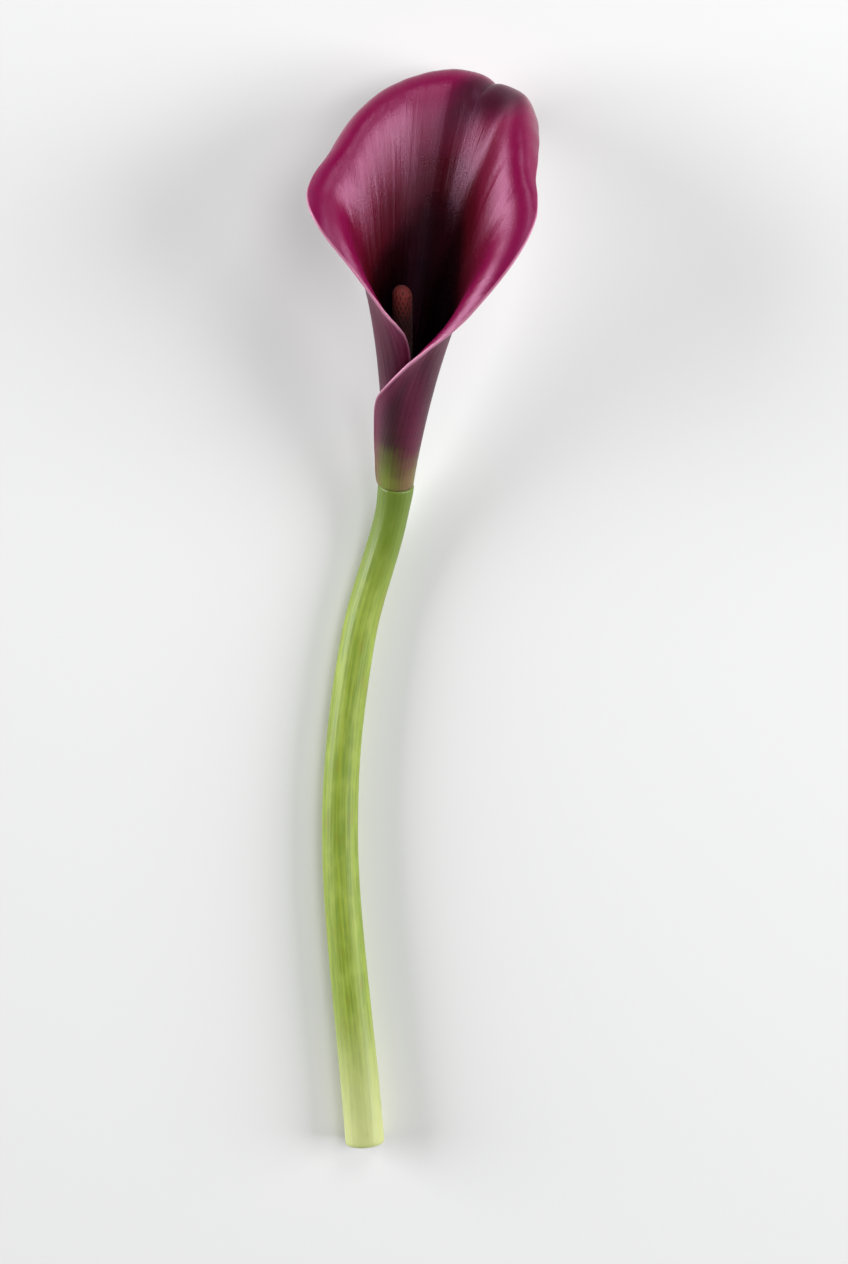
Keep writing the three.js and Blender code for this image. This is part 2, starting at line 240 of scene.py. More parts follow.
class NodeGraph:
    """The node tree of one material, built by short calls that each return an output socket."""

    def __init__(self, name: str) -> None:
        """Start an empty material.

        Args:
            name: The material's name.
        """
        self.material = bpy.data.materials.new(name)
        self.material.use_nodes = True
        self.tree = self.material.node_tree
        self.shader = self.tree.nodes["Principled BSDF"]

    def node(self, kind: str, **settings: str) -> bpy.types.Node:
        """Add a node.

        Args:
            kind: Blender's name for it.
            **settings: Its properties.

        Returns:
            The node.
        """
        made = self.tree.nodes.new(kind)
        for key, value in settings.items():
            setattr(made, key, value)
        return made

    def feed(self, socket: Socket, value: Value) -> None:
        """Link a socket to another one's output, or give it a constant.

        Args:
            socket: The socket that takes the value.
            value: An output or a constant.
        """
        if isinstance(value, Socket):
            self.tree.links.new(value, socket)
        else:
            socket.default_value = value

    def attribute(self, name: str, output: str = "Fac") -> Socket:
        """Read one of the mesh's own attributes."""
        return self.node("ShaderNodeAttribute", attribute_name=name).outputs[output]

    def object_place(self) -> Socket:
        """Read the place on the object, in metres."""
        return self.node("ShaderNodeTexCoord").outputs["Object"]

    def math(self, op: Op, *values: Value) -> Socket:
        """Combine two or three numbers.

        Args:
            op: What is done with them.
            *values: The numbers, in the order in which the operation takes them.

        Returns:
            The result.
        """
        made = self.node("ShaderNodeMath", operation=op.value)
        for socket, value in zip(made.inputs, values):
            self.feed(socket, value)
        return made.outputs[0]

    def remap(
        self, value: Value, low: float, high: float, start: float = 0.0, end: float = 1.0
    ) -> Socket:
        """Carry a value smoothly from one range to another.

        Args:
            value: The value.
            low: Where the first range starts.
            high: Where the first range ends.
            start: What low becomes.
            end: What high becomes.

        Returns:
            The carried value, held between start and end.
        """
        made = self.node("ShaderNodeMapRange", interpolation_type="SMOOTHSTEP")
        for index, item in enumerate((value, low, high, start, end)):
            self.feed(made.inputs[index], item)
        return made.outputs[0]

    def noise(self, place: Socket, pattern: Pattern) -> Socket:
        """Read a noise.

        Args:
            place: Where it is read.
            pattern: Its settings.

        Returns:
            A value from 0 to 1, about a half.
        """
        if pattern.stretch:
            scaled = self.node("ShaderNodeVectorMath", operation="MULTIPLY")
            self.feed(scaled.inputs[0], place)
            self.feed(scaled.inputs[1], pattern.stretch)
            place = scaled.outputs[0]
        made = self.node("ShaderNodeTexNoise")
        self.feed(made.inputs["Vector"], place)
        self.feed(made.inputs["Scale"], pattern.scale)
        self.feed(made.inputs["Detail"], pattern.detail)
        self.feed(made.inputs["Roughness"], pattern.roughness)
        return made.outputs["Fac"]

    def stirred(self, value: Value, noise_value: Socket, reach: float) -> Socket:
        """Shift a value to and fro by a noise, over a reach."""
        shift = self.math(Op.TIMES_PLUS, noise_value, reach, -reach / 2.0)
        return self.math(Op.PLUS, value, shift)

    def ramp(self, value: Value, stops: Stops) -> Socket:
        """Colour a value.

        Args:
            value: The value.
            stops: Values and the web colours that they get.

        Returns:
            The colour.
        """
        made = self.node("ShaderNodeValToRGB")
        made.color_ramp.interpolation = "EASE"
        elements = made.color_ramp.elements
        while len(elements) < len(stops):
            elements.new(0.5)
        for element, (place, code) in zip(elements, stops):
            element.position = place
            element.color = colour(code)
        self.feed(made.inputs[0], value)
        return made.outputs[0]

    def mix(self, share: Value, base: Paint, over: Paint) -> Socket:
        """Lay one colour over another.

        Args:
            share: How much of the upper colour shows.
            base: The lower colour.
            over: The upper colour.

        Returns:
            The blend.
        """
        made = self.node("ShaderNodeMix", data_type="RGBA")
        self.feed(made.inputs["Factor"], share)
        self.feed(made.inputs[6], colour(base) if isinstance(base, str) else base)
        self.feed(made.inputs[7], colour(over) if isinstance(over, str) else over)
        return made.outputs[2]

    def cover(self, value: Value, tint: Tint) -> Socket:
        """Find how much of a tint a value calls for."""
        return self.remap(value, tint.none, tint.full, 0.0, tint.share)

    def tinted(self, base: Paint, value: Value, tint: Tint) -> Socket:
        """Lay a tint over a colour, as much as a value calls for."""
        return self.mix(self.cover(value, tint), base, tint.code)

    def bump(self, height: Value, pattern: Pattern, below: Socket | None = None) -> Socket:
        """Raise the surface.

        Args:
            height: How high, from 0 to 1.
            pattern: The pattern whose depth and strength count.
            below: Relief that this one is added to.

        Returns:
            The normal of the relief.
        """
        made = self.node("ShaderNodeBump")
        self.feed(made.inputs["Height"], height)
        self.feed(made.inputs["Distance"], pattern.depth)
        self.feed(made.inputs["Strength"], pattern.strength)
        if below is not None:
            self.feed(made.inputs["Normal"], below)
        return made.outputs[0]

    def shade(self, **inputs: Value) -> bpy.types.Material:
        """Feed the shader.

        Args:
            **inputs: Values by socket, named with underscores for spaces.

        Returns:
            The material.
        """
        for key, value in inputs.items():
            self.feed(self.shader.inputs[key.replace("_", " ")], value)
        return self.material


@dataclass(frozen=True)
class SpatheFinish:
    """Velvety wine purple inside, near black deep in the throat partly as painted shade, duller
    with fine veins outside.
    """

    # The inner face by its share of the blade's length, and what stirs that share.
    # The near black deep down is the throat's own dark colour, deepened with painted shade.
    inner: Stops = (
        (0.0, "#020000"),
        (0.36, "#060100"),
        (0.44, "#1e0202"),
        (0.52, "#4a0510"),
        (0.62, "#640828"),
        (0.78, "#77053c"),
    )
    inner_clouds: float = 0.10
    inner_pile: float = 0.05
    inner_margin: Tint = Tint("#750842", 6.0, 1.0, 0.5)
    inner_vein: Tint = Tint("#45041f", 0.45, 0.75, 0.25)
    # The outer face by its share of a height in millimetres: green foot, dark tube, wine above.
    # The dark tube and the wine above are deepened past their own colours with painted shade.
    outer: Stops = (
        (0.03, "#66791f"),
        (0.08, "#4c5519"),
        (0.15, "#2a1c0e"),
        (0.26, "#280a10"),
        (0.55, "#421020"),
        (0.85, "#591432"),
    )
    outer_height: float = 110.0
    outer_clouds: float = 16.0
    outer_veins: float = 14.0
    outer_margin: Tint = Tint("#7a1f48", 6.0, 0.5, 0.5)
    bloom: Tint = Tint("#66273d", 0.42, 0.62, 0.35)
    bloom_rise: Span = (8.0, 28.0)
    # Both faces.
    # A pale pink line along the rim: a painted highlight on the rounded margin.
    edge: Tint = Tint("#cc8da8", 0.9, 0.15, 0.75)
    horn: Tint = Tint("#6d6634", 0.0, 0.5)
    horn_end: Tint = Tint("#3f3018", 0.7, 1.0)
    # The dark patch of painted shade beside the furrow: its middle, its size, how it slants, and
    # where it fades.
    shade_patch_colour: str = "#380217"
    patch_angle: float = 27.0
    patch_spread: float = 27.0
    patch_share: float = 0.74
    patch_reach: float = 0.13
    patch_climb: float = 0.004
    patch_clouds: float = 0.8
    patch_fade: Span = (1.3, 0.1)
    # The patterns, and the roughness by the clouds.
    clouds: Pattern = Pattern(60.0, 4.0)
    veins: Pattern = Pattern(0.9, 3.0, 0.6, (1.0, 0.012, 1.0), 0.00008, 0.9)
    streaks: Pattern = Pattern(0.13, 2.0, 0.45, (1.0, 0.06, 1.0), 0.00017)
    pile: Pattern = Pattern(1700.0, 2.0, 0.65, depth=0.00006)
    roughness: Range = (0.3, 0.7, 0.25, 0.33)
    outer_roughening: float = 0.14
    patch_roughening: float = 0.08

    def shade_patch(self, graph: NodeGraph, clouds: Socket) -> Socket:
        """Find the painted shade beside the furrow under the tip, where the skin is also duller.

        Args:
            graph: The material's nodes.
            clouds: The noise that frays its border.

        Returns:
            A value of 1 in the middle of the patch and 0 outside it.
        """
        turned = graph.math(Op.MINUS, graph.attribute("angle"), self.patch_angle)
        middle = graph.math(Op.TIMES_PLUS, turned, self.patch_climb, self.patch_share)
        across = graph.math(Op.OVER, turned, self.patch_spread)
        beyond = graph.math(Op.MINUS, graph.attribute("share"), middle)
        along = graph.math(Op.OVER, beyond, self.patch_reach)
        away = graph.math(Op.TIMES_PLUS, along, along, graph.math(Op.TIMES, across, across))
        return graph.remap(graph.stirred(away, clouds, self.patch_clouds), *self.patch_fade)

    def inner_skin(
        self, graph: NodeGraph, clouds: Socket, pile: Socket, veins: Socket, shade_patch: Socket
    ) -> Socket:
        """Colour the inner face by its depth in the throat, partly painted shade, and its distance
        to the margin.

        Args:
            graph: The material's nodes.
            clouds: The widest noise.
            pile: The finest noise.
            veins: The lengthwise noise.
            shade_patch: The share of the painted shade beside the furrow.

        Returns:
            The colour.
        """
        depth = graph.stirred(graph.attribute("share"), clouds, self.inner_clouds)
        depth = graph.stirred(depth, pile, self.inner_pile)
        # The near black low in the throat is partly painted shade.
        skin = graph.ramp(depth, self.inner)
        skin = graph.tinted(skin, graph.attribute("edge"), self.inner_margin)
        # Lay the painted shade of the furrow's patch over the skin.
        skin = graph.mix(shade_patch, skin, self.shade_patch_colour)
        return graph.tinted(skin, veins, self.inner_vein)

    def outer_skin(self, graph: NodeGraph, clouds: Socket, veins: Socket) -> Socket:
        """Colour the outer face by its height and its distance to the margin.

        Args:
            graph: The material's nodes.
            clouds: The widest noise.
            veins: The lengthwise noise.

        Returns:
            The colour.
        """
        rise = graph.stirred(graph.attribute("rise"), clouds, self.outer_clouds)
        rise = graph.stirred(rise, veins, self.outer_veins)
        skin = graph.ramp(graph.math(Op.OVER, rise, self.outer_height), self.outer)
        risen = graph.remap(rise, *self.bloom_rise)
        bloomed = graph.math(Op.TIMES, graph.cover(veins, self.bloom), risen)
        skin = graph.mix(bloomed, skin, self.bloom.code)
        return graph.tinted(skin, graph.attribute("edge"), self.outer_margin)

    def material(self) -> bpy.types.Material:
        """Make the material.

        Returns:
            The finish, which reads the blade's attributes share, angle, rise, edge, inside, horn
            and grain.
        """
        graph = NodeGraph("spathe_purple")
        grain, place = graph.attribute("grain", "Vector"), graph.object_place()
        clouds, pile = graph.noise(place, self.clouds), graph.noise(place, self.pile)
        veins, streaks = graph.noise(grain, self.veins), graph.noise(grain, self.streaks)
        inside = graph.attribute("inside")
        # The painted shade beside the furrow, on the inner face only.
        shade_patch = graph.math(Op.TIMES, self.shade_patch(graph, clouds), inside)

        inner = self.inner_skin(graph, clouds, pile, veins, shade_patch)
        skin = graph.mix(inside, self.outer_skin(graph, clouds, veins), inner)
        # A painted highlight along the rounded rim.
        skin = graph.tinted(skin, graph.attribute("edge"), self.edge)
        skin = graph.tinted(skin, graph.attribute("horn"), self.horn)
        skin = graph.tinted(skin, graph.attribute("horn"), self.horn_end)

        relief = graph.bump(streaks, self.streaks)
        relief = graph.bump(veins, self.veins, relief)
        relief = graph.bump(pile, self.pile, relief)
        outside = graph.math(Op.TIMES_PLUS, inside, -self.outer_roughening, self.outer_roughening)
        nap = graph.math(Op.PLUS, graph.remap(clouds, *self.roughness), outside)
        return graph.shade(
            Base_Color=skin,
            Roughness=graph.math(Op.TIMES_PLUS, shade_patch, self.patch_roughening, nap),
            Normal=relief,
            Specular_IOR_Level=0.54,
            Specular_Tint=colour("#ffc0ea"),
            Sheen_Weight=0.05,
            Sheen_Roughness=0.35,
            Sheen_Tint=colour("#ff9cc8"),
            Subsurface_Weight=0.12,
            Subsurface_Radius=(1.0, 0.25, 0.45),
            Subsurface_Scale=0.0012,
        )


@dataclass(frozen=True)
class SpadixFinish:
    """Matt reddish-brown florets with dark gaps between them, and painted shade down the throat."""

    gap: str = "#260808"
    crown: Tint = Tint("#8a3230", 0.1, 0.8)
    dusk: Tint = Tint("#4c1f1d", 0.4, 0.7, 0.4)
    # Painted shade: the spike darkens toward its foot, deep in the throat.
    shaded: Tint = Tint("#150404", 0.99, 0.8, 0.9)
    clouds: Pattern = Pattern(150.0)
    dust: Pattern = Pattern(3500.0, 2.0, depth=0.00015)
    roughness: Range = (0.3, 0.7, 0.6, 0.8)

    def material(self) -> bpy.types.Material:
        """Make the material.

        Returns:
            The finish, which reads two attributes: floret, 1 on a crown, and rise, 1 at the tip.
        """
        graph = NodeGraph("spadix_brown")
        place = graph.object_place()
        dust = graph.noise(place, self.dust)
        skin = graph.tinted(self.gap, graph.attribute("floret"), self.crown)
        skin = graph.tinted(skin, graph.noise(place, self.clouds), self.dusk)
        # Painted shade, deepening toward the spike's foot.
        skin = graph.tinted(skin, graph.attribute("rise"), self.shaded)
        return graph.shade(
            Base_Color=skin,
            Roughness=graph.remap(dust, *self.roughness),
            Normal=graph.bump(dust, self.dust),
            Specular_IOR_Level=0.3,
            Sheen_Weight=0.05,
        )


@dataclass(frozen=True)
class StemFinish:
    """Waxy yellow-green with fine lengthwise streaks, a deeper neck and a pale, dotted cut."""

    shade: str = "#70872a"
    green: Tint = Tint("#8b9d34", 0.35, 0.65)
    light: Tint = Tint("#a2b24b", 0.4, 0.8, 0.55)
    foot: Tint = Tint("#c3c78a", 0.25, 0.0, 0.8)
    tinge: Tint = Tint("#86762f", 0.42, 0.25, 0.35)
    neck: Tint = Tint("#5f7422", 0.78, 1.0, 0.95)
    cut: str = "#d3d8ab"
    bundle: Tint = Tint("#a0a566", 0.58, 0.8, 0.6)
    streaks: Pattern = Pattern(1.6, 3.0, 0.6, (1.0, 1.0, 0.02), 0.00012, 0.6)
    blotches: Pattern = Pattern(0.35, 4.0, stretch=(1.0, 1.0, 0.35))
    pores: Pattern = Pattern(2500.0, 2.0, depth=0.00004, strength=0.6)
    bundles: Pattern = Pattern(2300.0, 0.0)
    roughness: Range = (0.3, 0.7, 0.38, 0.5)

    def material(self) -> bpy.types.Material:
        """Make the material.

        Returns:
            The finish, which reads the attributes along, cut and grain.
        """
        graph = NodeGraph("stem_green")
        grain, place = graph.attribute("grain", "Vector"), graph.object_place()
        streaks, blotches = graph.noise(grain, self.streaks), graph.noise(grain, self.blotches)
        along = graph.attribute("along")
        skin = graph.tinted(self.shade, streaks, self.green)
        skin = graph.tinted(skin, blotches, self.light)
        skin = graph.tinted(skin, along, self.foot)
        skin = graph.tinted(skin, blotches, self.tinge)
        skin = graph.tinted(skin, along, self.neck)
        pith = graph.tinted(self.cut, graph.noise(place, self.bundles), self.bundle)
        relief = graph.bump(streaks, self.streaks)
        relief = graph.bump(graph.noise(place, self.pores), self.pores, relief)
        return graph.shade(
            Base_Color=graph.mix(graph.attribute("cut"), skin, pith),
            Roughness=graph.remap(blotches, *self.roughness),
            Normal=relief,
            Subsurface_Weight=0.12,
            Subsurface_Radius=(0.6, 1.0, 0.3),
            Subsurface_Scale=0.0015,
        )


# ---- Stem ----


@dataclass(frozen=True)
class Station:
    """One ring of the stem: its centre, direction and radius, and how bare the cut is there."""

    centre: Vector
    direction: Vector
    radius: float
    cut: float = 0.0

    def moved(self, by: float, radius: float, cut: float = 0.0) -> "Station":
        """Give a ring of another radius, moved along the stem."""
        return Station(self.centre + by * self.direction, self.direction, radius, cut)


@dataclass
class Stem:
    """The stalk: it lies along the surface, and its neck rises to the foot of the spathe."""

    lying: Lying
    top_radius: float = 4.9
    foot_radius: float = 6.0
    collar_flare: float = 0.45
    collar_span: float = 10.0
    neck_span: float = 50.0
    neck_offset: float = -12.0
    neck_heading: float = 10.0
    span: float = 206.0
    offset: float = -10.0
    heading: float = -4.0
    bend_share: float = 0.4
    sink: float = 0.15
    edge: float = 0.35
    receptacle_radius: float = 2.7
    receptacle_height: float = RECEPTACLE_HEIGHT
    receptacle_rounding: float = 0.6
    # Shares of the radius across the cut face, and how far it is sunk there.
    cut_face: tuple[Span, ...] = ((0.0, 0.35), (0.3, 0.3), (0.6, 0.2), (0.86, 0.05), (0.95, 0.0))
    rind: float = 0.6
    rind_narrowing: int = 6
    swell: float = 0.10
    swell_fineness: float = 1.3
    swell_along: float = 0.03
    ridge: float = 0.035
    ridges: int = 22
    ridge_twist: float = 0.02
    relief_radius: float = 4.0
    sides: int = 72
    lower_rings: int = 130
    neck_rings: int = 60

    def radius_at(self, run: float) -> float:
        """Give the radius at a distance along -Y from the foot of the spathe."""
        collar = self.collar_flare * (1.0 - smoothstep(run, 0.0, self.collar_span))
        return lerp(self.top_radius, self.foot_radius, run / self.span) + collar

    def lying_point(self, offset: float, run: float) -> Vector:
        """Give a point of the centre line where the stem lies on the surface."""
        foot = Vector(self.lying.foot)
        return Vector((foot.x + offset, foot.y - run, self.radius_at(run) - self.sink))

    def curves(self) -> tuple[list[Vector], list[Vector]]:
        """Lay out the centre line.

        Returns:
            The control points of the lower stem and of the neck, both running toward the head.
        """
        top = Vector(self.lying.foot)
        neck_foot = self.lying_point(self.neck_offset, self.neck_span)
        cut_end = self.lying_point(self.offset, self.span)
        neck_reach = self.neck_span * self.bend_share
        neck = [
            neck_foot,
            neck_foot + neck_reach * heading(self.neck_heading),
            top - neck_reach * self.lying.tube_axis(),
            top,
        ]
        reach = (self.span - self.neck_span) * self.bend_share
        lower = [
            cut_end,
            cut_end + reach * heading(self.heading),
            neck_foot - reach * heading(self.neck_heading),
            neck_foot,
        ]
        lower[1].z = lerp(cut_end.z, neck_foot.z, self.bend_share)
        lower[2].z = lerp(cut_end.z, neck_foot.z, 1.0 - self.bend_share)
        return lower, neck

    def stations(self) -> list[Station]:
        """Set out the rings.

        Returns:
            The rings, from the middle of the cut face to the middle of the receptacle's top.
        """
        lower, neck = self.curves()
        foot_y = self.lying.foot[1]
        rings = []
        for curve, count, first in ((lower, self.lower_rings, 0), (neck, self.neck_rings, 1)):
            for index in range(first, count + 1):
                centre = curve_point(curve, index / count)
                direction = curve_direction(curve, index / count)
                rings.append(Station(centre, direction, self.radius_at(foot_y - centre.y)))
        start, top = rings[0], rings[-1]
        cut_face = [
            start.moved(sunk, start.radius * share, 1.0 - self.rind * share**self.rind_narrowing)
            for share, sunk in self.cut_face
        ]
        end = [
            (-self.edge, top.radius),
            (0.0, top.radius - self.edge),
            (0.0, top.radius - 2.0 * self.edge),
            (0.0, self.receptacle_radius),
            (self.receptacle_height - self.receptacle_rounding, self.receptacle_radius),
            (self.receptacle_height, self.receptacle_radius - self.receptacle_rounding),
            (self.receptacle_height, 0.0),
        ]
        rolled = start.moved(self.edge, start.radius)
        return [*cut_face, rolled, *rings[1:-1], *(top.moved(*ring) for ring in end)]

    def build(self) -> bpy.types.Object:
        """Shape the stem round its stations.

        Returns:
            The finished stem.
        """
        stations = self.stations()
        last = len(stations) - 1
        shape = bmesh.new()
        bmesh.ops.create_grid(shape, x_segments=self.sides, y_segments=last, size=1.0)
        along = shape.verts.layers.float.new("along")
        cut = shape.verts.layers.float.new("cut")
        grain = shape.verts.layers.float_vector.new("grain")
        foot_y = self.lying.foot[1]
        for vertex in shape.verts:
            turn = math.pi * vertex.co.x - math.pi / 2.0
            station = stations[round((vertex.co.y + 1.0) / 2.0 * last)]
            run = foot_y - station.centre.y
            across = UP.cross(station.direction).normalized()
            over = station.direction.cross(across)
            ring = Vector((math.cos(turn), math.sin(turn), 0.0))
            place = Vector((ring.x, ring.y, self.swell_along * run)) * self.swell_fineness
            swell = self.swell * noise.noise(place)
            ridge = self.ridge * math.cos(self.ridges * turn + self.ridge_twist * run)
            relief = (swell + ridge) * smoothstep(station.radius, 0.0, self.relief_radius)
            point = station.centre + (station.radius + relief) * (ring.x * across + ring.y * over)
            point.z = max(point.z, 0.0)
            vertex[along] = 1.0 - run / self.span
            vertex[cut] = station.cut
            vertex[grain] = (station.radius * ring.x, station.radius * ring.y, run)
            vertex.co = point
        bmesh.ops.remove_doubles(shape, verts=shape.verts, dist=WELD)
        return finished(shape, "stem_stalk", "stem", StemFinish().material())


# ---- Spadix ----


@dataclass
class Spadix:
    """The spike in the throat, covered with small florets in quincunx."""

    lying: Lying
    seat: float = RECEPTACLE_HEIGHT + SEAT_GAP
    radius: float = 2.85
    foot_radius: float = 2.3
    swelling_share: float = 0.25
    height: float = 57.0
    lean: float = -4.0
    lean_growth: float = 1.5
    cap: float = 3.2
    least_radius: float = 0.02
    relief: float = 0.24
    relief_level: float = 0.6
    bare_tip: float = 1.0
    pitch: float = 1.5
    around: int = 13
    uneven_relief: float = 0.35
    uneven_colour: float = 0.3
    uneven_fineness: float = 4.0
    uneven_along: float = 0.25
    sides: int = 156
    rings: int = 330
    ring_crowding: float = 1.15

    def radius_at(self, height: float) -> float:
        """Give the radius without florets: a narrow foot, a slight swelling and a rounded tip.

        Args:
            height: The height over the spadix's foot.

        Returns:
            The radius.
        """
        swollen = smoothstep(height, 0.0, self.swelling_share * self.height)
        into_cap = clamp((height - self.height + self.cap) / self.cap)
        round_off = math.sqrt(max(1.0 - into_cap * into_cap, 0.0))
        return lerp(self.foot_radius, self.radius, swollen) * round_off

    def build(self) -> bpy.types.Object:
        """Raise the florets from the spike.

        Returns:
            The finished spadix.
        """
        shape = bmesh.new()
        bmesh.ops.create_grid(shape, x_segments=self.sides, y_segments=self.rings, size=1.0)
        crown = shape.verts.layers.float.new("floret")
        rise = shape.verts.layers.float.new("rise")
        placed = self.lying.matrix()
        for vertex in shape.verts:
            turn = math.pi * (vertex.co.x + 1.0)
            ring = Vector((math.cos(turn), math.sin(turn), 0.0))
            step = (vertex.co.y + 1.0) / 2.0 * self.rings
            closed = step < 0.5 or step > self.rings - 0.5
            left = 1.0 - clamp((step - 1.0) / (self.rings - 2.0))
            height = self.height * (1.0 - left**self.ring_crowding)
            wave = math.cos(self.around * turn) * math.cos(math.pi * height / self.pitch)
            floret = math.sqrt(0.5 + 0.5 * wave)
            place = Vector((ring.x, ring.y, self.uneven_along * height))
            uneven = noise.noise(place * self.uneven_fineness)
            fade = smoothstep(height, 0.0, self.pitch)
            fade *= 1.0 - smoothstep(height, self.height - self.bare_tip, self.height)
            raised = self.relief * (floret - self.relief_level + self.uneven_relief * uneven) * fade
            radius = 0.0 if closed else max(self.radius_at(height) + raised, self.least_radius)
            leant = self.lean * (height / self.height) ** self.lean_growth
            vertex[crown] = clamp(floret + self.uneven_colour * uneven)
            vertex[rise] = height / self.height
            vertex.co = placed @ (Vector((leant, 0.0, self.seat + height)) + radius * ring)
        bmesh.ops.remove_doubles(shape, verts=shape.verts, dist=WELD)
        return finished(shape, "spadix_spike", "spadix", SpadixFinish().material())


# ---- Spathe ----


@dataclass(frozen=True)
class MarginStation:
    """Where the margin stands at one angle round the tube, and how far the blade arches over it."""

    angle: float
    radius: float
    height: float
    curl: float


MARGIN = tuple(
    MarginStation(*values)
    for values in (
        (-215.0, 4.4, 5.0, -1.5),
        (-200.0, 6.4, 30.0, -10.0),
        (-178.0, 9.4, 50.0, -12.0),
        (-145.0, 16.0, 62.0, -4.0),
        (-123.0, 24.0, 74.5, 2.0),
        (-108.0, 31.5, 84.5, 8.0),
        (-92.0, 34.0, 90.5, 14.0),
        (-70.0, 30.5, 98.5, 20.0),
        (-45.0, 31.5, 105.5, 26.0),
        (-15.0, 37.0, 109.0, 31.5),
        (10.0, 43.0, 109.5, 38.0),
        (40.0, 42.0, 109.0, 37.5),
        (60.0, 35.0, 105.5, 29.0),
        (80.0, 31.0, 99.5, 20.0),
        (100.0, 32.0, 90.5, 12.0),
        (120.0, 28.0, 77.0, 9.0),
        (140.0, 21.5, 62.0, 7.0),
        (160.0, 15.3, 51.5, 3.0),
        (180.0, 12.4, 45.5, -3.0),
        (207.0, 10.8, 37.5, -8.0),
        (245.0, 8.3, 26.0, -6.0),
        (262.0, 6.5, 12.0, -2.0),
        (270.0, 5.4, 4.0, -1.0),
    )
)


@dataclass(frozen=True)
class Wave:
    """One wave of the blade's sway: degrees to a wave, waves to the blade, a seed and a weight."""

    degrees: float
    count: float
    seed: float
    weight: float

    def at(self, angle: float, share: float) -> float:
        """Read the wave at one place on the blade."""
        place = Vector((angle / self.degrees, self.count * share, self.seed))
        return self.weight * noise.noise(place)


@dataclass
class Spathe:
    """The one petal-like leaf, rolled into a trumpet, its right margin over its left one."""

    lying: Lying
    stations: Sequence[MarginStation] = MARGIN
    foot_radius: float = 4.3
    tube_radius: float = 6.0
    slim_tube_radius: float = 1.0
    slim_tube_share: float = 0.75
    tube_share: float = 0.45
    flare_radius: float = 2.0
    flare_share: float = 0.52
    spiral: float = 1.5
    tip_angle: float = 25.0
    tip_start: float = 0.66
    point_reach: float = 9.0
    point_spread: float = 24.0
    horn_reach: float = 11.5
    horn_spread: float = 5.5
    tip_slope: float = 28.0
    tip_bend_radius: float = 12.0
    fold_depth: float = 2.2
    fold_out: float = 0.5
    fold_down: float = 0.9
    fold_spread: float = 12.0
    fold_drift: float = 60.0
    fold_start: float = 0.45
    fold_full: float = 0.85
    body_thickness: float = 1.3
    foot_thickness: float = 1.0
    foot_thickens_over: float = 0.15
    margin_thickness: float = 0.8
    margin_thins_over: float = 120.0
    rim_thinning: float = 0.2
    horn_thickening: float = 0.5
    horn_thick_spread: float = 2.2
    horn_thickens: Span = (0.8, 0.95)
    edge_rounding: float = 0.6
    vein_bend: float = 0.5
    vein_length: float = 120.0
    sway: float = 0.35
    waves: tuple[Wave, ...] = (Wave(22.0, 3.0, 7.0, 1.0), Wave(7.0, 5.0, 2.0, 0.45))
    sway_start: float = 0.35
    sway_ends: Span = (150.0, 190.0)
    steady_spread: float = 8.0
    half_columns: int = 150
    rows: int = 120
    column_crowding: float = 1.5
    row_crowding: float = 1.4

    def margin_at(self, angle: float) -> Triple:
        """Read the margin at any angle, smoothly between its stations.

        Args:
            angle: Degrees round the tube, from its back toward +X.

        Returns:
            Its radius, height and curl.
        """
        last = len(self.stations) - 1
        after = next((i for i, station in enumerate(self.stations) if angle < station.angle), last)
        after = max(after, 1)
        low, high = self.stations[after - 1], self.stations[after]
        span = high.angle - low.angle
        t = (angle - low.angle) / span
        rise = 3 * t * t - 2 * t * t * t
        values = []
        for key in ("radius", "height", "curl"):
            slopes = []
            for index in (after - 1, after):
                near = self.stations[max(index - 1, 0)]
                far = self.stations[min(index + 1, last)]
                slopes.append((getattr(far, key) - getattr(near, key)) / (far.angle - near.angle))
            bend = t * (1 - t) * span * ((1 - t) * slopes[0] - t * slopes[1])
            values.append(lerp(getattr(low, key), getattr(high, key), rise) + bend)
        return values[0], values[1], values[2]

    def tip_reach(self, offset: float) -> float:
        """Give how far the rim is drawn out beside the tip: a broad point and a slender horn."""
        point = self.point_reach * clamp(1.0 - offset / self.point_spread) ** 2
        return point + self.horn_reach * clamp(1.0 - offset / self.horn_spread) ** 2

    def drawn(self, reach: float, share: float) -> float:
        """Give how far the blade is drawn out below a rim that is drawn out by a reach."""
        return reach * clamp((share - self.tip_start) / (1.0 - self.tip_start)) ** 2

    def column(self, angle: float) -> Callable[[float], Vector]:
        """Give the blade's middle surface along one angle.

        Args:
            angle: Degrees round the tube, from its back toward +X.

        Returns:
            A function from the share of the blade's length, 0 at the foot, to the point in the
            head's frame.
        """
        radius, height, curl = self.margin_at(angle)
        tube_radius = min(self.tube_radius, self.slim_tube_radius + self.slim_tube_share * radius)
        profile = [
            Vector((self.foot_radius, 0.0)),
            Vector((tube_radius, self.tube_share * height)),
            Vector((self.flare_radius + self.flare_share * radius, height + curl)),
            Vector((radius, height)),
        ]
        reach = self.tip_reach(abs(angle - self.tip_angle))
        slope = math.radians(self.tip_slope)
        turn = math.radians(angle)

        def at(share: float) -> Vector:
            """Find the point at one share of the length.

            Args:
                share: The share, 0 at the foot and 1 at the rim.

            Returns:
                The point in the head's frame.
            """
            out, up = curve_point(profile, share)
            bent = slope + self.drawn(reach, share) / self.tip_bend_radius
            out += self.tip_bend_radius * (math.sin(bent) - math.sin(slope))
            up -= self.tip_bend_radius * (math.cos(slope) - math.cos(bent))
            beside = angle - self.tip_angle - self.fold_drift * (1.0 - share)
            fold = self.fold_depth * math.exp(-((beside / self.fold_spread) ** 2))
            fold *= smoothstep(share, self.fold_start, self.fold_full)
            out += self.fold_out * fold + self.spiral * angle / 360.0
            return Vector((out * math.sin(turn), out * math.cos(turn), up - self.fold_down * fold))

        return at

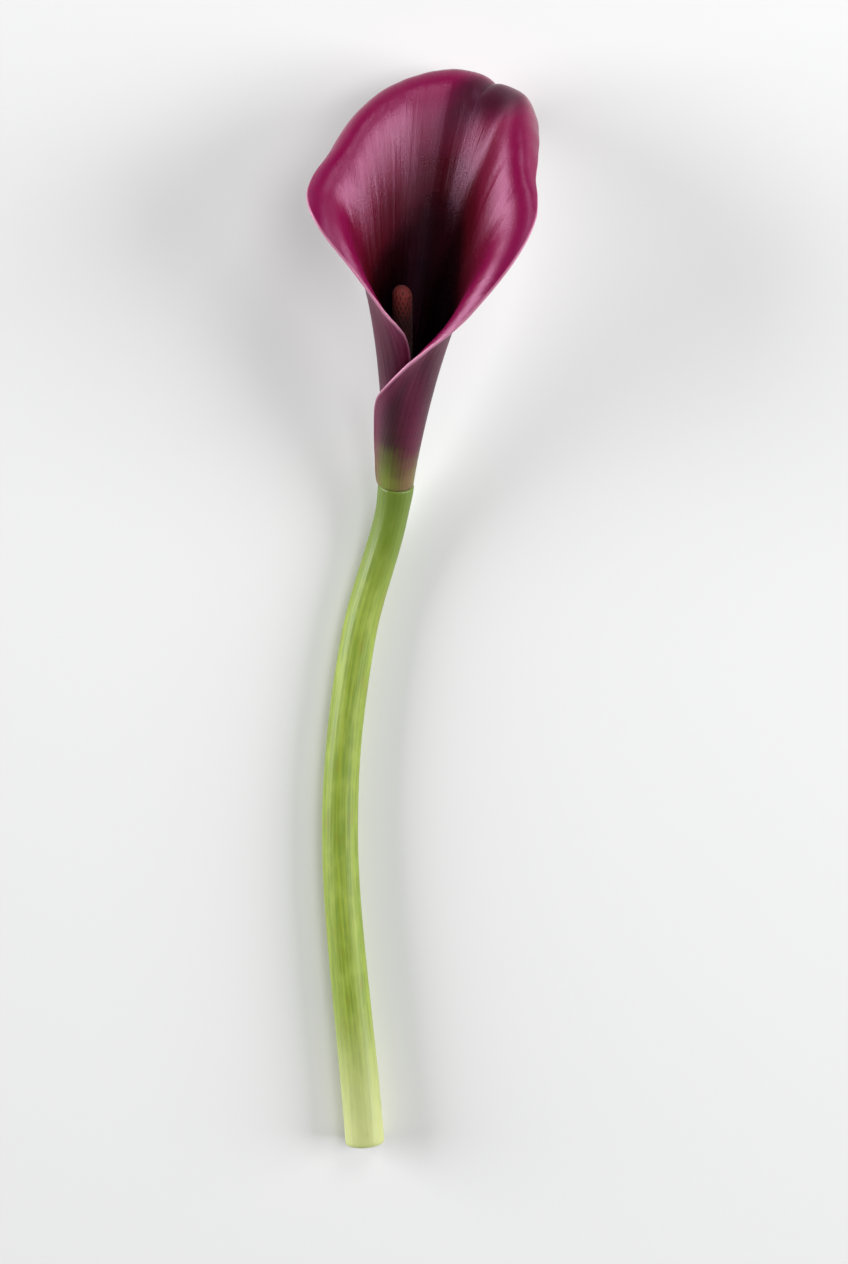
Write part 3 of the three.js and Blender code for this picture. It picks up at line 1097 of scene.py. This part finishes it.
    def thickness(self, share: float, angle: float) -> float:
        """Give the blade's thickness: thinner toward both side margins and toward the rim.

        Args:
            share: The share of the blade's length, 0 at the foot.
            angle: Degrees round the tube, from its back toward +X.

        Returns:
            The thickness.
        """
        in_from_margin = min(angle - self.stations[0].angle, self.stations[-1].angle - angle)
        full = smoothstep(in_from_margin, 0.0, self.margin_thins_over)
        above_foot = smoothstep(share, 0.0, self.foot_thickens_over)
        middle = lerp(self.foot_thickness, self.body_thickness, above_foot)
        body = lerp(self.margin_thickness, middle, full) * (1.0 - self.rim_thinning * share)
        offset = abs(angle - self.tip_angle)
        horn = self.horn_thickening * math.exp(-((offset / self.horn_thick_spread) ** 2))
        return body + horn * smoothstep(share, *self.horn_thickens)

    def angle_of(self, across: float) -> float:
        """Spread the columns from -1 at the left margin to 1 at the right, close at the tip."""
        edge = self.stations[-1].angle if across > 0 else self.stations[0].angle
        return self.tip_angle + (edge - self.tip_angle) * abs(across) ** self.column_crowding

    def middle_surface(self, shape: bmesh.types.BMesh) -> None:
        """Roll a flat grid into the blade's middle surface and store what its finish reads.

        Args:
            shape: An empty bmesh, which receives the surface.
        """
        columns = 2 * self.half_columns
        bmesh.ops.create_grid(shape, x_segments=columns, y_segments=self.rows, size=1.0)
        floats = shape.verts.layers.float
        keys = ("share", "angle", "rise", "horn", "edge", "inside")
        layers = {key: floats.new(key) for key in keys}
        grain = shape.verts.layers.float_vector.new("grain")
        surfaces: dict[int, Callable[[float], Vector]] = {}
        for vertex in shape.verts:
            index = round((vertex.co.x + 1.0) / 2.0 * columns)
            angle = self.angle_of(2.0 * index / columns - 1.0)
            if index not in surfaces:
                surfaces[index] = self.column(angle)
            share = 1.0 - (1.0 - clamp((vertex.co.y + 1.0) / 2.0)) ** self.row_crowding
            offset = angle - self.tip_angle
            drawn = self.drawn(self.tip_reach(abs(offset)), share)
            fan = 1.0 + self.vein_bend * share * share
            vertex[layers["share"]] = share
            vertex[layers["angle"]] = angle
            vertex[layers["horn"]] = clamp((drawn - self.point_reach) / self.horn_reach)
            vertex[grain] = (offset * fan, self.vein_length * share, 0.0)
            vertex.co = surfaces[index](share)
            vertex[layers["rise"]] = vertex.co.z

    def sway_blade(self, shape: bmesh.types.BMesh) -> None:
        """Let the blade sway a little off its formula toward the rim, as a grown one does.

        Args:
            shape: The middle surface.
        """
        shape.normal_update()
        share, angle = (shape.verts.layers.float[key] for key in ("share", "angle"))
        moves = []
        for vertex in shape.verts:
            swayed = sum(wave.at(vertex[angle], vertex[share]) for wave in self.waves)
            calm = smoothstep(vertex[share], self.sway_start, 1.0)
            calm *= 1.0 - smoothstep(abs(vertex[angle]), *self.sway_ends)
            offset = vertex[angle] - self.tip_angle
            steady = 1.0 - math.exp(-((offset / self.steady_spread) ** 2))
            moves.append(vertex.normal * self.sway * swayed * calm * steady)
        for vertex, move in zip(shape.verts, moves):
            vertex.co += move

    def measure_edge(self, shape: bmesh.types.BMesh) -> None:
        """Store each vertex's distance to the nearest free margin.

        Args:
            shape: The middle surface.
        """
        share, edge = shape.verts.layers.float["share"], shape.verts.layers.float["edge"]
        rim = [v.co.copy() for v in shape.verts if v.is_boundary and v[share] > 0.0]
        tree = kdtree.KDTree(len(rim))
        for index, point in enumerate(rim):
            tree.insert(point, index)
        tree.balance()
        for vertex in shape.verts:
            vertex[edge] = tree.find(vertex.co)[2]

    def thicken(self, shape: bmesh.types.BMesh) -> None:
        """Part the middle surface into an inner and an outer face that meet in a rounded margin.

        Args:
            shape: The middle surface, which becomes the closed blade.
        """
        shape.normal_update()
        layers = shape.verts.layers.float
        share, angle, edge, inside = (layers[key] for key in ("share", "angle", "edge", "inside"))
        inner = list(shape.verts)
        halves = []
        for vertex in inner:
            thick = self.thickness(vertex[share], vertex[angle])
            cut = clamp(1.0 - vertex[edge] / (self.edge_rounding * thick))
            halves.append(0.5 * thick * math.sqrt(1.0 - cut * cut) * vertex.normal)
        foot = [e for e in shape.edges if all(v[share] == 0.0 for v in e.verts)]
        copied = bmesh.ops.duplicate(shape, geom=[*shape.verts, *shape.edges, *shape.faces])
        outer = [copied["vert_map"][vertex] for vertex in inner]
        outer_foot = [copied["edge_map"][e] for e in foot]
        outward = halves[0].dot(Vector((inner[0].co.x, inner[0].co.y, 0.0))) > 0.0
        toward_axis = -1.0 if outward else 1.0
        for vertex, twin, half in zip(inner, outer, halves):
            twin.co = vertex.co - toward_axis * half
            vertex.co = vertex.co + toward_axis * half
            vertex[inside] = 1.0
            twin[inside] = 0.0
        bmesh.ops.bridge_loops(shape, edges=foot + outer_foot)
        bmesh.ops.remove_doubles(shape, verts=shape.verts, dist=WELD)

    def build(self) -> bpy.types.Object:
        """Shape the blade, lay it on the surface and dress it.

        Returns:
            The finished spathe.
        """
        shape = bmesh.new()
        self.middle_surface(shape)
        self.sway_blade(shape)
        self.measure_edge(shape)
        self.thicken(shape)
        placed = self.lying.matrix()
        for vertex in shape.verts:
            vertex.co.z = max(vertex.co.z, SEAT_GAP)
            vertex.co = placed @ vertex.co
            vertex.co.z = max(vertex.co.z, 0.0)
        return finished(shape, "spathe_blade", "spathe", SpatheFinish().material())


# ---- Studio ----


class Shape(Enum):
    """Outline of a soft light."""

    BOX = "RECTANGLE"
    DISC = "DISK"


@dataclass(frozen=True)
class SoftLight:
    """One soft light, aimed at the flower from a bearing (0 degrees is +Y, 90 +X) and a height.

    Its lengths are in metres, and its power is in watts.
    """

    name: str
    bearing: float
    height: float
    distance: float
    width: float
    depth: float
    power: float
    shape: Shape = Shape.BOX

    def build(self, target: Vector) -> None:
        """Hang the light.

        Args:
            target: The point that it faces.
        """
        lamp = bpy.data.lights.new(self.name, "AREA")
        lamp.shape = self.shape.value
        lamp.size = self.width
        if self.shape is Shape.BOX:
            lamp.size_y = self.depth
        lamp.energy = self.power
        light = bpy.data.objects.new(self.name, lamp)
        rise = math.radians(self.height)
        toward_light = math.cos(rise) * heading(self.bearing) + math.sin(rise) * UP
        light.location = target + self.distance * toward_light
        light.rotation_euler = (-toward_light).to_track_quat("-Z", "Y").to_euler()
        bpy.context.scene.collection.objects.link(light)


@dataclass(frozen=True)
class Studio:
    """The camera that looks down on the flower, the pale floor and walls, and the lights.

    Lengths are in metres, apart from the sensor's, and angles are in degrees.
    """

    view_from_above: float = 10.7
    lean: float = 6.0
    distance: float = 1.15
    height_share: float = 0.88
    sensor_width: float = 36.0
    sight: float = 50.0
    floor_radius: float = 2.4
    floor_sides: int = 96
    floor_colour: str = "#e2e2e2"
    floor_roughness: float = 0.8
    wall_colour: str = "#eceef1"
    wall_top: Span = (0.05, 0.5)
    wall_light: Span = (0.75, 0.05)
    lights: tuple[SoftLight, ...] = (
        SoftLight("left_softbox", -76.0, 17.0, 2.4, 1.7, 1.4, 74.0),
        SoftLight("right_softbox", 84.0, 25.0, 2.4, 1.4, 1.5, 58.0),
        SoftLight("overhead_softbox", 56.0, 70.0, 1.5, 0.6, 0.6, 5.5, Shape.DISC),
        SoftLight("head_softbox", 28.0, 42.0, 1.6, 0.7, 0.7, 5.0, Shape.DISC),
    )

    def camera(self, middle: Vector, length: float) -> None:
        """Set the camera, tilted toward the head from straight above, with the head at the top.

        Args:
            middle: The point at the middle of the picture.
            length: The flower's length, which fills most of the picture's height.
        """
        tilt, lean = math.radians(self.view_from_above), math.radians(self.lean)
        side = math.sin(tilt)
        toward_camera = Vector((side * math.sin(lean), side * math.cos(lean), math.cos(tilt)))
        lens = bpy.data.cameras.new("camera")
        lens.sensor_width = self.sensor_width
        lens.lens = lens.sensor_width * self.distance * self.height_share / length
        lens.clip_end = self.sight
        view = bpy.data.objects.new("camera", lens)
        view.location = middle + self.distance * toward_camera
        right = heading(0.0).cross(toward_camera).normalized()
        turn = Matrix((right, toward_camera.cross(right), toward_camera)).transposed()
        view.rotation_euler = turn.to_euler()
        bpy.context.scene.collection.objects.link(view)
        bpy.context.scene.camera = view

    def floor(self) -> None:
        """Lay the plain pale floor, round so that its far edge is level from every side."""
        shape = bmesh.new()
        bmesh.ops.create_circle(
            shape, cap_ends=True, segments=self.floor_sides, radius=self.floor_radius
        )
        mesh = bpy.data.meshes.new("floor")
        shape.to_mesh(mesh)
        shape.free()
        white = NodeGraph("floor_white").shade(
            Base_Color=colour(self.floor_colour), Roughness=self.floor_roughness
        )
        mesh.materials.append(white)
        floor = bpy.data.objects.new("floor", mesh)
        bpy.context.scene.collection.objects.link(floor)
        floor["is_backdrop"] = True

    def walls(self) -> None:
        """Surround the floor with pale walls under a dim ceiling."""
        world = bpy.data.worlds.new("studio")
        world.use_nodes = True
        tree = world.node_tree
        background = tree.nodes["Background"]
        background.inputs["Color"].default_value = colour(self.wall_colour)
        direction = tree.nodes.new("ShaderNodeTexCoord")
        height = tree.nodes.new("ShaderNodeSeparateXYZ")
        dimming = tree.nodes.new("ShaderNodeMapRange")
        tree.links.new(direction.outputs["Generated"], height.inputs[0])
        tree.links.new(height.outputs["Z"], dimming.inputs["Value"])
        tree.links.new(dimming.outputs[0], background.inputs["Strength"])
        limits = (*self.wall_top, *self.wall_light)
        for key, value in zip(("From Min", "From Max", "To Min", "To Max"), limits):
            dimming.inputs[key].default_value = value
        bpy.context.scene.world = world

    def build(self, box: tuple[Vector, Vector]) -> None:
        """Set up the whole studio round the flower.

        Args:
            box: The flower's lowest and highest corners, in metres.
        """
        low, high = box
        middle = (low + high) / 2.0
        self.camera(middle, high.y - low.y)
        self.floor()
        for light in self.lights:
            light.build(middle)
        self.walls()
        bpy.context.scene.view_settings.view_transform = "Standard"


def corners(box: Sequence[Sequence[float]]) -> tuple[Vector, Vector]:
    """Turn a box of plain numbers into two corners."""
    return Vector(box[0]), Vector(box[1])


def main() -> None:
    """Build the flower and its studio, and set the studio round the solid's box."""
    logging.basicConfig(level=logging.INFO, format="%(name)s: %(message)s")
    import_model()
    solid_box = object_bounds()
    lying = Lying()
    Stem(lying).build()
    Spadix(lying).build()
    Spathe(lying).build()
    Studio().build(corners(solid_box))


if __name__ == "__main__":
    main()
